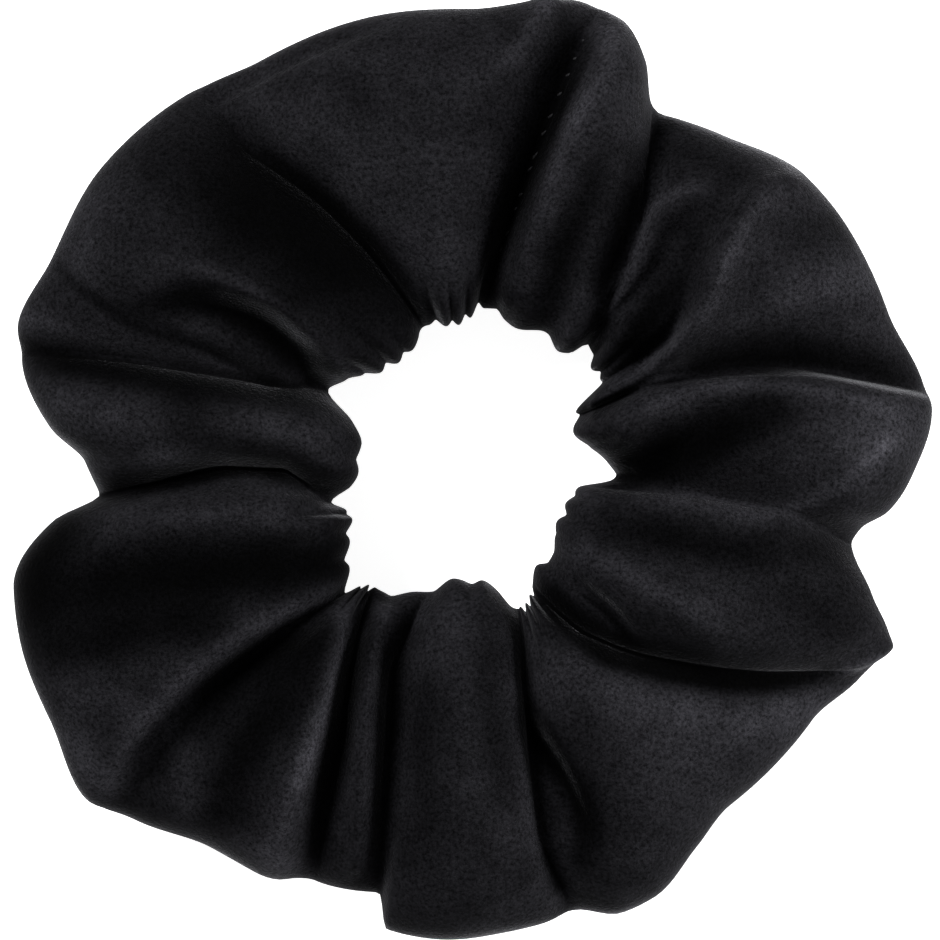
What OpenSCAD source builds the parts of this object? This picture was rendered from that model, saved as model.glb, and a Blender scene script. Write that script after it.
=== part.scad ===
// Velvet scrunchie: a gathered cloth tube on a loop of flat elastic.
// It lies on its flat side, with the middle of its outline over the origin and +Z up.
// The loop is in two halves that part along X when it is stretched.

/* [Ring] */
// How far the fullest gathers reach from the middle
rim_radius = 56; // [50:0.5:66]
// How far the deepest hair-opening gathers stay from the middle
hole_radius = 16; // [14.5:0.5:18]
// Height of the fullest gathers above the surface the ring lies on
ring_height = 27; // [25:0.5:34]

/* [Cover] */
// Thickness of the velvet with its pile
cloth_thick = 0.9; // [0.6:0.1:1.4]
// How much the top drops in the deepest valley between two gathers
gather_depth = 7; // [3:0.5:8]
// Fullness of the tube's section, where 1 is an ellipse and less is squarer
section_fullness = 0.72; // [0.6:0.02:0.9]

/* [Elastic] */
// How far the elastic's inside face stands back from the edge of the hair opening
elastic_set_back = 8; // [7:0.5:10]
// Width of the flat elastic
elastic_width = 6; // [4:0.5:8]
// Thickness of the flat elastic
elastic_thick = 1; // [0.6:0.1:1.4]
// Length of the overlap where the elastic's ends are joined
lap_length = 13; // [9:0.5:18]

/* [Seams] */
// Width of the cut edges inside the long seam
allowance_width = 8; // [5:0.5:10]
// How far in from the rim the long seam runs, on the underside
seam_set_in = 17; // [14:0.5:20]
// Depth that the tube's end is tucked into the other end
tuck_depth = 8; // [6:0.5:9.5]
// Thread thickness
thread_d = 0.4; // [0.3:0.05:0.6]
// Length of one machine stitch
stitch_length = 2.5; // [2:0.1:3.5]

/* [Hidden] */
$fn = 96;

// Gap between the two halves at rest
half_gap = 0.3;
// Gap between the tucked end and the cover round it
tuck_gap = 0.5;
// Gap between the long-seam allowance and the cover below it
allowance_gap = 0.25;
// Gap left between stitches in a row
stitch_gap = 0.5;
// Rings across one gather, and points round the tube's section
gather_rings = 6;
section_steps = 32;
// How far the resting weight presses the underside of a full gather flat
press = 1.2;
// Rings along the tucked end
tuck_rings = 8;

// Depth of the tucked end's inner face below the cover's outer face
tuck_inset = 2 * cloth_thick + tuck_gap;
// How far the elastic's top edge runs below that inner face, where it passes through the tuck
elastic_clearance = 1.45;

elastic_radius = hole_radius + elastic_set_back;
elastic_outer = elastic_radius + elastic_thick;
// Angle at the middle of the elastic's overlap, and half the overlap in degrees
lap_middle = 205;
lap_half = lap_length / 2 / elastic_outer * 180 / PI;

// Height of the allowance's lower face, and of its upper face with both layers of cloth
allowance_low = cloth_thick + allowance_gap;
allowance_high = allowance_low + 2 * cloth_thick;
seam_radius = rim_radius - seam_set_in;
// The thread runs this far in from the seam
thread_set_in = 1;
seam_thread_radius = seam_radius - thread_set_in;

// The closing seam follows this valley, and the tuck reaches back from it
closing_valley = 10;
middle_radius = (rim_radius + hole_radius) / 2;
tuck_angle = tuck_depth / middle_radius * 180 / PI;
// Number of stitches round the closing seam, a little over twice its width and height
closing_count = floor(0.85 * 2 * (rim_radius - hole_radius + ring_height - gather_depth)
    / stitch_length);
// Zigzag stitches in one bar, their pitch in degrees, how far one leans, and how far the bars
// stand from the middle of the overlap and from the elastic's edges
bartack_count = 5;
bartack_pitch = 1.6;
bartack_slant = 0.45;
bartack_spread = 0.6;
bartack_margin = 0.8;

velvet = [0.075, 0.075, 0.085];
thread_black = [0.05, 0.05, 0.055];
elastic_black = [0.09, 0.09, 0.095];

// Valleys between the gathers, anticlockwise from just below the left:
// [angle at the opening, angle at the rim, drop of the rim, drop at the opening, share of depth]
FOLDS = [
    [-167, -176, 10, 3, 0.9],
    [-136, -137, 2, 4, 0.9],
    [-127, -111, 3, 3, 0.6],
    [-110, -102, 4, 2, 0.9],
    [-71, -77, 2, 3, 1.0],
    [-56, -25, 3, 1, 1.0],
    [-8, -11, 9, 1, 0.6],
    [24, 9, 1, 1, 1.0],
    [32, 42, 4, 1, 0.7],
    [47, 63, 7, 4, 0.8],
    [85, 75, 1, 4, 1.0],
    [121, 127, 1, 2, 0.9],
    [151, 165, 2, 3, 0.8]
];
// Gathers between those valleys: [reach at the rim, reach into the opening, share of height]
PUFFS = [
    [3, 0.5, 1.0],
    [-1, -0.5, 0.92],
    [-3, 0, 0.88],
    [0, 3, 0.98],
    [0, 2, 1.0],
    [-5.5, 3.5, 0.97],
    [-1, 3, 0.95],
    [-1.5, 1, 0.94],
    [-3.5, -2, 0.93],
    [1.5, -1, 0.96],
    [-0.5, -1.5, 1.0],
    [1, 0.5, 0.97],
    [-4, 2.5, 0.94]
];

// The same valleys and gathers again a full turn on, so that any stretch of the ring is unbroken
turns = [0, 1];
VALLEYS = [for (turn = turns) for (f = FOLDS) [f[0] + 360 * turn, f[1] + 360 * turn, f[2], f[3], f[4]]];
GATHERS = [for (turn = turns) each PUFFS];
// The long-seam allowance stops this many degrees short of the tucked end
allowance_stop = 2;
allowance_end = VALLEYS[closing_valley][1] - tuck_angle - allowance_stop;

function mix(a, b, t) = a + (b - a) * t;
function clamp01(t) = min(1, max(0, t));

// Share of the way from the opening to the rim at section angle v
function share_at(v) = (soft_power(cos(v)) + 1) / 2;
// Angle of valley i where the section is the share w of the way out
function valley_angle(i, w) = mix(VALLEYS[i][0], VALLEYS[i][1], w);
// How far across gather i the angle a lies, from 0 to 1
function across(i, a, w) =
    clamp01((a - valley_angle(i, w)) / (valley_angle(i + 1, w) - valley_angle(i, w)));
// Fullness across a gather: nothing in the valleys and 1 on the crest, with a round top
function crest(t) = pow(sin(180 * t), 0.7);
// Steps that are finer near the valleys
function eased(t) = (1 - cos(180 * t)) / 2;

function rim_at(i, t) = mix(rim_radius - mix(VALLEYS[i][2], VALLEYS[i + 1][2], t),
    rim_radius + GATHERS[i][0], crest(t));
function hole_at(i, t) = mix(hole_radius + mix(VALLEYS[i][3], VALLEYS[i + 1][3], t),
    hole_radius - GATHERS[i][1], crest(t));
function top_at(i, t) = mix(ring_height - gather_depth * mix(VALLEYS[i][4], VALLEYS[i + 1][4], t),
    ring_height * GATHERS[i][2], crest(t));
// The underside is pressed flat on the crests and only just touches down in the valleys
function bottom_at(i, t) = press * (mix(VALLEYS[i][4], VALLEYS[i + 1][4], t) * (1 - crest(t)) - 1);

function soft_power(c) = sign(c) * pow(abs(c), section_fullness);

// Point of the cover a share t across gather i, at section angle v (0 at the rim, 90 on top),
// moved in from the outer face by inset
function cover_point(i, t, v, inset) = let(
    w = share_at(v),
    a = mix(valley_angle(i, w), valley_angle(i + 1, w), t),
    r = mix(hole_at(i, t) + inset, rim_at(i, t) - inset, w),
    z = mix(bottom_at(i, t), top_at(i, t) - inset, (soft_power(sin(v)) + 1) / 2)
) [r * cos(a), r * sin(a), max(inset, z)];

// Point in the cover's pile on the closing seam, one thread's radius below the face
function closing_point(v) = cover_point(closing_valley, 0, v, thread_d / 2);

// Section angle at which the tucked end's inner face stands r from the middle, on its upper side.
// This holds between the opening and the middle of the section
function tuck_section_angle(r) = let(
    near = hole_at(closing_valley, 0) + tuck_inset,
    far = rim_at(closing_valley, 0) - tuck_inset,
    share = clamp01((r - near) / (far - near))
) acos(-pow(1 - 2 * share, 1 / section_fullness));

// Heights of the elastic's edges
elastic_high = cover_point(closing_valley, 0, tuck_section_angle(elastic_radius), tuck_inset).z
    - elastic_clearance;
elastic_low = elastic_high - elastic_width;

// Closed cloth band that follows the cover between two insets, over gathers first to last and
// from ring angle a0 to a1. Those are counted from the closing seam where slanted is 1
module cloth_band(first, last, a0, a1, outer_inset, inner_inset, steps, slanted = 0) {
    rows = [
        for (i = [first : last])
            for (n = [0 : (i < last ? steps - 1 : steps)])
                [i, eased(n / steps)]
    ];
    section = [for (k = [0 : section_steps - 1]) 360 * k / section_steps];
    points = [
        for (inset = [outer_inset, inner_inset])
            for (row = rows)
                for (v = section)
                    let(
                        i = row[0],
                        w = share_at(v),
                        seam = slanted * valley_angle(closing_valley, w),
                        t = mix(across(i, a0 + seam, w), across(i, a1 + seam, w), row[1])
                    )
                    cover_point(i, t, v, inset)
    ];
    count = len(rows) - 1;
    layer = len(rows) * section_steps;
    function at(side, n, k) = side * layer + n * section_steps + k % section_steps;
    walls = [
        for (n = [0 : count - 1])
            for (k = [0 : section_steps - 1])
                each [
                    [at(0, n, k), at(0, n + 1, k + 1), at(0, n + 1, k)],
                    [at(0, n, k), at(0, n, k + 1), at(0, n + 1, k + 1)],
                    [at(1, n, k), at(1, n + 1, k), at(1, n + 1, k + 1)],
                    [at(1, n, k), at(1, n + 1, k + 1), at(1, n, k + 1)]
                ]
    ];
    ends = [
        for (k = [0 : section_steps - 1])
            each [
                [at(0, 0, k), at(1, 0, k + 1), at(0, 0, k + 1)],
                [at(0, 0, k), at(1, 0, k), at(1, 0, k + 1)],
                [at(0, count, k), at(0, count, k + 1), at(1, count, k + 1)],
                [at(0, count, k), at(1, count, k + 1), at(1, count, k)]
            ]
    ];
    polyhedron(points = points, faces = concat(walls, ends), convexity = 10);
}

// Places what follows in the half that the side names: 1 is right and -1 is left
module half(side) {
    translate([side * half_gap / 2, 0, 0]) children();
}

// Round thread laid from p to q
module thread(p, q) {
    d = q - p;
    translate(p)
        rotate([0, acos(d.z / norm(d)), atan2(d.y, d.x)])
            cylinder(h = norm(d), d = thread_d, $fn = 24);
}

// Row of machine stitches along an arc on top of the long-seam allowance
module stitch_row(a0, a1) {
    count = floor((a1 - a0) * PI / 180 * seam_thread_radius / stitch_length);
    pitch = (a1 - a0) / count;
    share = 1 - stitch_gap / stitch_length;
    for (n = [0 : count - 1])
        let(
            s = a0 + pitch * (n + (1 - share) / 2),
            e = s + pitch * share,
            r = seam_thread_radius,
            z = allowance_high
        )
        thread([r * cos(s), r * sin(s), z], [r * cos(e), r * sin(e), z]);
}

// Flat arc of rectangular section from angle a0 to a1
module arc_bar(a0, a1, inner, outer, low, high) {
    rotate([0, 0, a0])
        rotate_extrude(angle = a1 - a0)
            translate([inner, low])
                square([outer - inner, high - low]);
}

module cover_left() {
    color(velvet)
        half(-1)
            cloth_band(10, 16, 90, 270, 0, cloth_thick, gather_rings);
}

module cover_right() {
    color(velvet)
        half(1)
            cloth_band(3, 10, -90, 90, 0, cloth_thick, gather_rings);
}

module seam_allowance_left() {
    color(velvet)
        half(-1)
            arc_bar(90, 270, seam_radius - allowance_width, seam_radius,
                allowance_low, allowance_high);
}

module seam_allowance_right() {
    color(velvet)
        half(1)
            arc_bar(-90, allowance_end, seam_radius - allowance_width, seam_radius,
                allowance_low, allowance_high);
}

module seam_stitches_left() {
    color(thread_black)
        half(-1)
            stitch_row(90, 270);
}

module seam_stitches_right() {
    color(thread_black)
        half(1)
            stitch_row(-90, allowance_end);
}

module closing_tuck() {
    color(velvet)
        half(1)
            cloth_band(closing_valley - 1, closing_valley - 1, -tuck_angle, 0,
                cloth_thick + tuck_gap, tuck_inset, tuck_rings, 1);
}

// The stitches lie flush in the cover's pile, one after another round the closing seam
module closing_stitches() {
    steps = closing_count;
    color(thread_black)
        half(1)
            for (n = [0 : steps - 1])
                let(
                    v = 360 * n / steps,
                    p = closing_point(v),
                    q = closing_point(v + 360 / steps),
                    slack = (q - p) * stitch_gap / norm(q - p) / 2
                )
                thread(p + slack, q - slack);
}

module elastic_left() {
    color(elastic_black)
        half(-1)
            arc_bar(90, 270, elastic_radius, elastic_outer, elastic_low,
                elastic_low + elastic_width);
}

module elastic_right() {
    color(elastic_black)
        half(1)
            arc_bar(-90, 90, elastic_radius, elastic_outer, elastic_low,
                elastic_low + elastic_width);
}

module elastic_lap() {
    color(elastic_black)
        half(-1)
            arc_bar(lap_middle - lap_half, lap_middle + lap_half, elastic_outer,
                elastic_outer + elastic_thick, elastic_low, elastic_low + elastic_width);
}

// Two bars of zigzag stitches across the elastic, one near each end of the overlap
module elastic_bartack() {
    face = elastic_outer + elastic_thick;
    low = elastic_low + bartack_margin;
    high = elastic_low + elastic_width - bartack_margin;
    color(thread_black)
        half(-1)
            for (bar = [-1, 1])
                for (n = [0 : bartack_count - 1])
                    let(
                        s = lap_middle + bar * lap_half * bartack_spread
                            + (n - (bartack_count - 1) / 2) * bartack_pitch,
                        e = s + bartack_pitch * bartack_slant
                    )
                    thread([face * cos(s), face * sin(s), low],
                        [face * cos(e), face * sin(e), high]);
}

cover_left();
cover_right();
seam_allowance_left();
seam_allowance_right();
seam_stitches_left();
seam_stitches_right();
closing_tuck();
closing_stitches();
elastic_left();
elastic_right();
elastic_lap();
elastic_bartack();
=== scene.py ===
import math

import bpy
import numpy as np
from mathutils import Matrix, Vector


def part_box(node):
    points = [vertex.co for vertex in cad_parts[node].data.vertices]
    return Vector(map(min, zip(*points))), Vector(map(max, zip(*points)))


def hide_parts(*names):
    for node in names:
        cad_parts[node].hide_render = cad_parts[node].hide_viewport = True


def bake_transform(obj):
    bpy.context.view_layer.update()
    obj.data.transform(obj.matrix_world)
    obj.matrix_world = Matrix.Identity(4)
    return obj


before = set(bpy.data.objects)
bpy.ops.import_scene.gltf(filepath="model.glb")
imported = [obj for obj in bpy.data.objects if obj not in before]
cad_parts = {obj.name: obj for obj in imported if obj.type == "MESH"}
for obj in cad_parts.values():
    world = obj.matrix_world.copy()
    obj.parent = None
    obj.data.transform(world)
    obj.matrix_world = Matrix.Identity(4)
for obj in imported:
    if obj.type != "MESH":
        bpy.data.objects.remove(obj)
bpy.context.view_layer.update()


# ---- Velvet cover ---------------------------------------------------------------------------
# One strip of stretch velvet, sewn into a tube with the pile outside and gathered on the elastic.
# The gathers are free: only the long seam under the ring and the closing seam hold the cloth.

MM = 0.001
# Height of the ring's top at a valley. A gather's bulge is added to it, rounded by the power
VALLEY_HEIGHT = 20.0
CREST_POWER = 0.7
COVER_FULLNESS = 0.80
CLOTH_THICK = 0.9
# How far the valleys between gathers stand off the floor, under the ring
BELLY_ARCH = 1.6
# The long seam runs round the underside at this distance from the middle, in a groove
SEAM_RADIUS = 39.0
SEAM_GROOVE = 0.7
SEAM_GROOVE_WIDTH = 1.1
# Fine puckers where the elastic draws the cloth in, round the opening and under the ring: how
# many there are, and how deep they are at the opening and under the middle of the tube
PUCKERS = 36
PUCKER_AT_OPENING = 1.0
PUCKER_UNDERNEATH = 6.8
# Each pucker is a round lobe between two narrow creases, and this is about the lobes' mean height
LOBE_MIDDLE = 0.64
CREASE_ROUNDING = 0.02
# How much the lobes' depth varies round the ring, and the waves that shift them sideways: size,
# waves in a turn and where they start
PUCKER_UNEVEN = 0.15
PUCKER_WANDER = [(1.6, 3, 1), (1.1, 7, 2.2)]
# Shares of a fold's height that are kept where the ring's weight presses it, and on the tube's
# upright walls
PRESSED_SHARE = 0.45
WALL_SHARE = 0.35
# Share of the depths listed under VALLEYS that the valleys are made with
VALLEY_SHARE = 0.32
# Points round the ring and round the tube's section
ROUND_STEPS = 560
SECTION_STEPS = 130

# The rim as it is seen from above, through points in mm (x right, y up)
RIM = [
    (-45, -3), (-50, -6), (-55, -14), (-54, -20), (-50, -30), (-46, -39), (-40, -42), (-31, -45),
    (-25, -48), (-20, -49), (-11, -51), (-10, -55), (-4, -56), (5, -55), (13, -53), (18, -53),
    (22, -51), (27, -45), (31, -40), (41, -30), (47, -25), (50, -21), (48, -15), (46, -9), (47, -7),
    (50, -5), (53, 0), (55, 6), (55, 9), (50, 19), (45, 29), (40, 35), (30, 40), (23, 43), (22, 44),
    (21, 49), (18, 54), (14, 56), (0, 55), (-12, 54), (-25, 49), (-34, 45), (-44, 36), (-50, 25),
    (-54, 18), (-54, 14), (-50, 5), (-46, 1),
]
# The edge of the hair opening
OPENING = [
    (-14, -2), (-16, -4), (-14, -5), (-14, -8), (-14, -11), (-14, -14), (-12, -13), (-9, -14),
    (-5, -14), (-2, -13), (1, -13), (3, -14), (6, -16), (8, -11), (10, -10), (10, -7), (12, -3),
    (13, -2), (16, -1), (16, 1), (13, 3), (12, 5), (12, 6), (13, 8), (15, 10), (14, 12), (14, 15),
    (12, 14), (10, 14), (8, 16), (4, 17), (3, 19), (1, 19), (0, 18), (-2, 17), (-5, 17), (-6, 15),
    (-8, 13), (-12, 11), (-15, 11), (-16, 9), (-14, 6), (-13, 3), (-13, 1),
]

# The deep valleys between gathers. Each runs from the opening to the rim through five angles in
# degrees; then its depth there, and how wide its clockwise and anticlockwise banks are, in mm.
VALLEYS = [
    ("left_lap", (-167, -180, -180.7, -177.7, -176), (4, 8, 8, 7, 5), 1.6, 4.0),
    ("lower_left", (-135.5, -139.8, -141, -139.8, -137), (4, 9, 9, 6, 2), 1.2, 4.0),
    ("pleat_left", (-129, -121.5, -115.5, -112.7, -111), (4, 6, 5, 4, 2), 1.6, 1.6),
    ("pleat_right", (-110, -111.5, -107, -104, -102), (4, 7, 6, 5, 3), 2.4, 1.4),
    ("bottom", (-70.5, -75.5, -78, -79.2, -77), (4, 8, 8, 6, 4), 1.6, 2.4),
    ("lower_right", (-62, -55.5, -44, -35.5, -25.5), (3, 4, 5, 4, 3), 3.6, 3.0),
    ("right_lap", (-7.5, -6.2, -6.8, -8, -11), (5, 5, 3, 2, 4), 1.4, 4.0),
    ("right_upper", (26.5, 25, 20, 14.5, 9.5), (5, 9, 8, 6, 3), 1.2, 5.0),
    ("upper_right", (45.5, 50.5, 54, 59, 63), (4, 6, 5, 4, 4), 1.6, 4.0),
    ("closing", (85, 81, 78.5, 76.3, 74.5), (4, 5, 5, 4, 2), 3.0, 1.6),
    ("upper_left", (108.5, 113.5, 118.5, 124.5, 125), (4, 8, 10, 7, 1), 5.0, 7.0),
    ("left_upper", (150.3, 157, 160.6, 163, 165.5), (4, 6, 5, 5, 3), 2.0, 2.0),
]
# How much each gather bulges between its two valleys, in the same order, and how far its crest
# stands towards its clockwise valley (under 1) or its anticlockwise one (over 1)
BULGES = [
    (5.5, 1.0), (4.5, 1.3), (3, 1.0), (5, 1.2), (5, 1.0), (6, 1.0), (6, 1.0), (6, 1.2), (5.5, 1.0),
    (5.5, 1.1), (6, 0.8), (5.5, 1.0),
]

# Lesser ridges and valleys, each through points in mm (x right, y up): heights along it, and how
# wide it is on the right and the left of its path
FOLDS = [
    ("curl_ridge", [(14.5, 8), (19.6, 11), (23.7, 13.9), (26.8, 18.7), (28.5, 24.2), (30.9, 29.8),
                    (34, 33), (37, 34)], (2.5, 3, 2.5, 2, 1), 2.5, 1.2),
    ("curl_crease", [(13.5, 8.3), (18.3, 11.2), (22.5, 14.6), (25.2, 19), (27, 24.8), (29.2, 29.8)],
     (-1.5, -3, -2.5, -1.5, 0), 1.0, 1.4),
    ("upper_bank", [(15.4, 15.4), (16.6, 20.2), (19.5, 24.8), (21, 28.3), (24.4, 31.8),
                    (27.3, 32.9)], (1.5, 2.5, 2.5, 2, 0.5), 2.0, 1.2),
    ("upper_pocket", [(18.1, 13.6), (21, 18.4), (23.4, 23.6), (26.4, 28)], (-2, -3, -3, -1), 3, 3),
    ("closing_lobe", [(12.7, 14.8), (13.3, 19), (13.9, 22)], (2, 2, 0.5), 1.8, 2),
    ("closing_hollow", [(9.1, 17.8), (10.9, 25), (13.3, 32.2)], (-1.5, -1.8, -1), 2.5, 3),
    ("closing_bank", [(4.3, 20.2), (7.3, 28.6), (10.9, 37), (14.5, 44.1), (16.9, 48.9)],
     (1.5, 2, 2, 2, 1), 3, 1.5),
    ("top_crest", [(9.1, 55.1), (7.9, 51.9), (6.7, 48.9)], (1.5, 1.5, 0), 1.5, 1.5),
    ("top_roll", [(-30.4, 44.7), (-21.4, 48.7), (-14.2, 51.5), (-7, 53.5)], (-1, -1, -0.8, 0), 1, 1),
    ("brow", [(-33.4, 22.6), (-29.2, 22), (-22.6, 19.4), (-19, 16), (-16.6, 12.1)],
     (0.5, 2, 2.5, 2.5, 2), 1.2, 3),
    ("brow_pocket", [(-38.2, 18.4), (-31, 18.8), (-25, 17.2), (-20.2, 14), (-17.6, 10.9)],
     (-0.5, -2.5, -3, -3, -2), 1.8, 1.5),
    ("hair_wrinkle", [(-48.7, 24.8), (-42.9, 19.3), (-34.6, 15.7), (-26.2, 11.8), (-22, 10)],
     (0, -0.7, -0.9, -0.9, 0), 0.8, 0.8),
    ("left_lip", [(-16.6, -4.9), (-23.8, -4.3), (-32.2, -4.7), (-40.5, -6.1)], (1.5, 2, 2, 1), 2, 3),
    ("left_tuck_line", [(-25, -1.2), (-20.2, -2.3), (-16.6, -3.5), (-13, -4.5)],
     (0, -0.4, -0.4, 0), 1.2, 1.2),
    ("left_trough", [(-14.8, -10.9), (-22.6, -12.1), (-32.2, -12.7), (-42.9, -13.3),
                     (-53.1, -14.5)], (-2, -3, -3, -2.5, -1.5), 5, 6),
    ("lower_left_crest", [(-14.8, -14.2), (-21.8, -17.8), (-28.9, -22.5), (-33.7, -27.9),
                          (-38.5, -33.4), (-42.6, -39)], (1.5, 2.5, 2.5, 2.5, 2, 1), 4, 1.2),
    ("pleat_band", [(-16, -15.7), (-17.6, -25.2), (-19.6, -34.8), (-21.4, -43.2), (-22.6, -48)],
     (1.5, 2.5, 2.5, 2, 1), 3.5, 1.5),
    ("pleat_ridge", [(-9.7, -15.7), (-11.6, -20.5), (-12.3, -27.6), (-12.8, -37.2),
                     (-13.3, -46.8)], (1.5, 2.5, 2.5, 2, 1), 1.4, 1.2),
    ("bottom_flank", [(-7.7, -20.5), (-8.3, -30), (-8.9, -39.6)], (-0.8, -1.5, -0.5), 2.5, 2.5),
    ("bottom_edge", [(4.7, -16.9), (5.1, -25.2), (6.3, -34.8), (7.7, -45.6), (9.4, -52.1)],
     (1, 1.5, 1.8, 1.5, 0.5), 2.5, 1),
    ("bottom_pocket", [(6.5, -29.1), (8.5, -32.2), (10.9, -36), (12.6, -40.2), (13.5, -44.4)],
     (-1, -3, -3.5, -3, -0.5), 2.2, 1),
    ("short_crease", [(12.7, -13.3), (14.5, -14.7), (16.4, -16.3), (18.3, -18.7), (19.5, -20.7)],
     (-1.5, -2.2, -2.2, -1.5, 0), 0.8, 0.8),
    ("right_swell", [(14.5, -10.9), (25.2, -15.7), (33.6, -21.6)], (1, 2.2, 0.8), 4, 4),
    ("right_hollow", [(20.5, -6.1), (30, -10.9), (39.6, -15.7)], (-0.5, -1.8, -1), 4, 4),
    ("right_lip", [(13.6, -2.4), (16.7, -2.4), (24.2, -3.2), (30.5, -4.4), (37.6, -5.1),
                   (43.2, -3.9), (49.2, -0.5)], (1, 1.5, 1.8, 1.5, 1.5, 1.2, 0.5), 3, 1),
    ("right_pocket", [(17.5, 0.1), (21.6, 2), (27.6, 4.9), (34.8, 7.7)], (-2, -3.5, -3, -1), 3, 2.5),
    ("right_crest", [(17.6, 6.5), (21.4, 9.7), (25.8, 10.9), (32.1, 11.5), (39.2, 11.2),
                     (47.8, 9.2), (53.3, 8.3)], (1.5, 2.5, 2.5, 2.5, 2.5, 2, 1), 2.5, 0.8),
    ("curl_inner", [(21.6, 7.7), (18.3, 3.7), (16.3, 1.7)], (0.5, 1.4, 1), 1, 1),
    ("corner_crest", [(42, -24.8), (46, -23.2), (49.8, -21)], (0.5, 1.5, 1.5), 1, 1),
]


def round_turn(points, degrees):
    """How far a closed outline stands from the middle, read at any angles in degrees."""
    x, y = np.array(points, float).T
    angles = np.degrees(np.arctan2(y, x))
    order = np.argsort(angles)
    angles, values = angles[order], np.hypot(x, y)[order]
    angles = np.concatenate([angles - 360, angles, angles + 360])
    values = np.tile(values, 3)
    run = np.diff(angles)
    slope = np.diff(values) / run
    product = slope[1:] * slope[:-1]
    tangent = np.zeros(len(angles))
    harmonic = 2 * product / np.where(product > 0, slope[1:] + slope[:-1], 1)
    tangent[1:-1] = np.where(product > 0, harmonic, 0)
    d = (np.asarray(degrees, float) + 180) % 360 - 180
    k = np.clip(np.searchsorted(angles, d, side="right") - 1, 0, len(run) - 1)
    t = (d - angles[k]) / run[k]
    return (
        values[k] * (1 + 2 * t) * (1 - t) ** 2
        + values[k + 1] * t * t * (3 - 2 * t)
        + run[k] * (tangent[k] * t * (1 - t) ** 2 - tangent[k + 1] * t * t * (1 - t))
    )


def along(values, share):
    """Value at a share from 0 to 1 along evenly spaced values."""
    return np.interp(share, np.linspace(0, 1, len(values)), values)


def soft_power(c, power):
    return np.sign(c) * np.abs(c) ** power


def rise(low, high, x):
    t = np.clip((x - low) / (high - low), 0, 1)
    return t * t * (3 - 2 * t)


# The ring's parameter lines follow the valleys, so that each crease lies along mesh edges
section = np.linspace(0, 2 * math.pi, SECTION_STEPS, endpoint=False)
out_share = (soft_power(np.cos(section), COVER_FULLNESS) + 1) / 2
up_share = (soft_power(np.sin(section), COVER_FULLNESS) + 1) / 2
first = VALLEYS[0][1]
knots = [v[1] for v in VALLEYS] + [tuple(a + 360 for a in first)]
middles = np.array([np.mean(k) for k in knots])
ring = middles[0] + 360 * np.arange(ROUND_STEPS) / ROUND_STEPS
gather = np.clip(np.searchsorted(middles, ring, side="right") - 1, 0, len(VALLEYS) - 1)
across = (ring - middles[gather]) / (middles[gather + 1] - middles[gather])
angle = np.zeros((ROUND_STEPS, SECTION_STEPS))
for row in range(ROUND_STEPS):
    low = along(knots[gather[row]], out_share)
    high = along(knots[gather[row] + 1], out_share)
    angle[row] = low + (high - low) * across[row]

reach = round_turn(RIM, angle)
opening = round_turn(OPENING, angle)
radius = opening + (reach - opening) * out_share
fullness, crest_place = np.array(BULGES, float)[gather].T
crest = np.sin(np.pi * across ** crest_place) ** CREST_POWER
height = VALLEY_HEIGHT + (fullness * crest)[:, None]
# Under the ring the full gathers are pressed flat, and the valleys between them stay off the floor
belly = (BELLY_ARCH * (1 - crest))[:, None]
rad = np.radians(angle)
base = np.stack([radius * np.cos(rad), radius * np.sin(rad),
                 belly + (height - belly) * up_share], -1)


def smooth_path(points, steps=8):
    """Smooth line through given points, with the share along it of each place on it."""
    p = np.array(points, float)
    p = np.concatenate([[2 * p[0] - p[1]], p, [2 * p[-1] - p[-2]]])
    t = np.linspace(0, 1, steps, endpoint=False)[:, None]
    parts = [
        0.5 * (2 * p[k] + (p[k + 1] - p[k - 1]) * t
               + (2 * p[k - 1] - 5 * p[k] + 4 * p[k + 1] - p[k + 2]) * t * t
               + (3 * p[k] - p[k - 1] - 3 * p[k + 1] + p[k + 2]) * t ** 3)
        for k in range(1, len(p) - 2)
    ]
    return np.concatenate(parts + [p[-2:-1]])


def fold(flat, path, heights, right, left, crisp=False):
    """Height of a fold along a path, seen from above: a ridge, or a valley where it is negative.
    It falls away over the given widths on the right and left of the way the path runs. A crisp
    one comes to a crease, and its banks are round like two cushions that meet."""
    line = smooth_path(path)
    reach = 5 if crisp else 3
    low, high = line.min(0) - reach * max(right, left), line.max(0) + reach * max(right, left)
    near = np.all((flat > low) & (flat < high), -1)
    p = flat[near]
    best = np.full(len(p), 1e9)
    share = np.zeros(len(p))
    side = np.zeros(len(p))
    for k in range(len(line) - 1):
        step = line[k + 1] - line[k]
        rel = p - line[k]
        t = np.clip(rel @ step / (step @ step), 0, 1)
        gap = rel - t[:, None] * step
        distance = np.hypot(gap[:, 0], gap[:, 1])
        closer = distance < best
        best = np.where(closer, distance, best)
        share = np.where(closer, (k + t) / (len(line) - 1), share)
        offset = (step[0] * rel[:, 1] - step[1] * rel[:, 0]) / np.hypot(*step)
        side = np.where(closer, offset / np.maximum(distance, 1e-6), side)
    # past its ends a fold turns gradually from its right width to its left one
    width = right + (left - right) * (1 + np.clip(side, -1, 1)) / 2
    far = best / width
    if crisp:
        shape = np.exp(0.25 - np.hypot(far, 0.25)) * (1 - rise(3.5, 5, far))
    else:
        shape = np.exp(-far ** 2)
    out = np.zeros(flat.shape[:-1])
    out[near] = along(heights, share) * shape
    return out


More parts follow.
